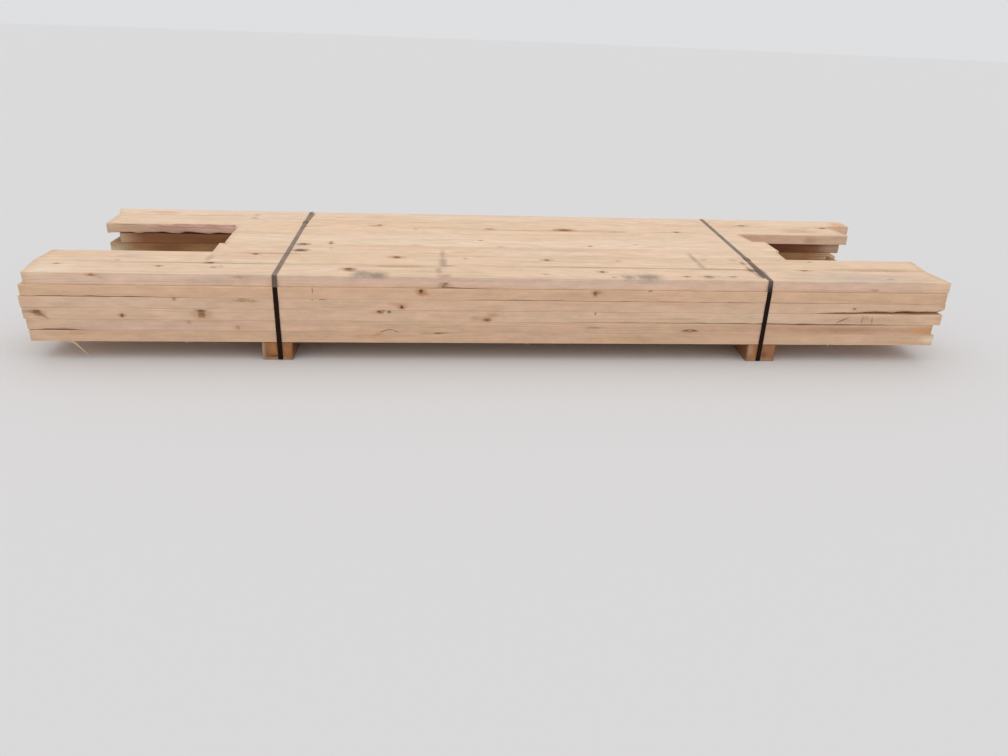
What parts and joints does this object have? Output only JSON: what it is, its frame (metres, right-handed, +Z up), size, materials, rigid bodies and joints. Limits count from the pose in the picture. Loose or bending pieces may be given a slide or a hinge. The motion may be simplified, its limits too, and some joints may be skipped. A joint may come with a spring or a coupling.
{
  "type": "strapped stack of lumber",
  "caption": "Bundle of rough-sawn softwood planks, long ones front and rear with shorter ones between, strapped with steel bands to bearers that leave fork clearance.",
  "frame": {"origin": "on the ground, under the middle of the stack's bounding box", "axes": "+X along the planks towards the right end, +Y from the front of the stack to its rear, +Z up"},
  "size_m": [3.786, 1.1416, 0.3537],
  "materials": {
    "plank_wood": "rough sawn",
    "bearer_wood": "rough sawn, weathered",
    "strapping_steel": "black waxed paint, semi-gloss",
    "seal_steel": "worn black paint, semi-gloss"
  },
  "bodies": {
    "root": {"front_outer_plank_1": "plank_wood", "front_outer_plank_2": "plank_wood", "front_outer_plank_3": "plank_wood", "front_outer_plank_4": "plank_wood", "front_outer_plank_5": "plank_wood", "front_outer_plank_6": "plank_wood", "front_inner_plank_1": "plank_wood", "front_inner_plank_2": "plank_wood", "front_inner_plank_3": "plank_wood", "front_inner_plank_4": "plank_wood", "front_inner_plank_5": "plank_wood", "front_inner_plank_6": "plank_wood", "middle_front_plank_1": "plank_wood", "middle_front_plank_2": "plank_wood", "middle_front_plank_3": "plank_wood", "middle_front_plank_4": "plank_wood", "middle_front_plank_5": "plank_wood", "middle_front_plank_6": "plank_wood", "middle_centre_plank_1": "plank_wood", "middle_centre_plank_2": "plank_wood", "middle_centre_plank_3": "plank_wood", "middle_centre_plank_4": "plank_wood", "middle_centre_plank_5": "plank_wood", "middle_centre_plank_6": "plank_wood", "middle_rear_plank_1": "plank_wood", "middle_rear_plank_2": "plank_wood", "middle_rear_plank_3": "plank_wood", "middle_rear_plank_4": "plank_wood", "middle_rear_plank_5": "plank_wood", "middle_rear_plank_6": "plank_wood", "rear_inner_plank_1": "plank_wood", "rear_inner_plank_2": "plank_wood", "rear_inner_plank_3": "plank_wood", "rear_inner_plank_4": "plank_wood", "rear_inner_plank_5": "plank_wood", "rear_inner_plank_6": "plank_wood", "rear_outer_plank_1": "plank_wood", "rear_outer_plank_2": "plank_wood", "rear_outer_plank_3": "plank_wood", "rear_outer_plank_4": "plank_wood", "rear_outer_plank_5": "plank_wood", "rear_outer_plank_6": "plank_wood", "left_bearer": "bearer_wood", "left_strap": "strapping_steel", "left_strap_seal": "seal_steel", "right_bearer": "bearer_wood", "right_strap": "strapping_steel", "right_strap_seal": "seal_steel"}
  },
  "joints": []
}
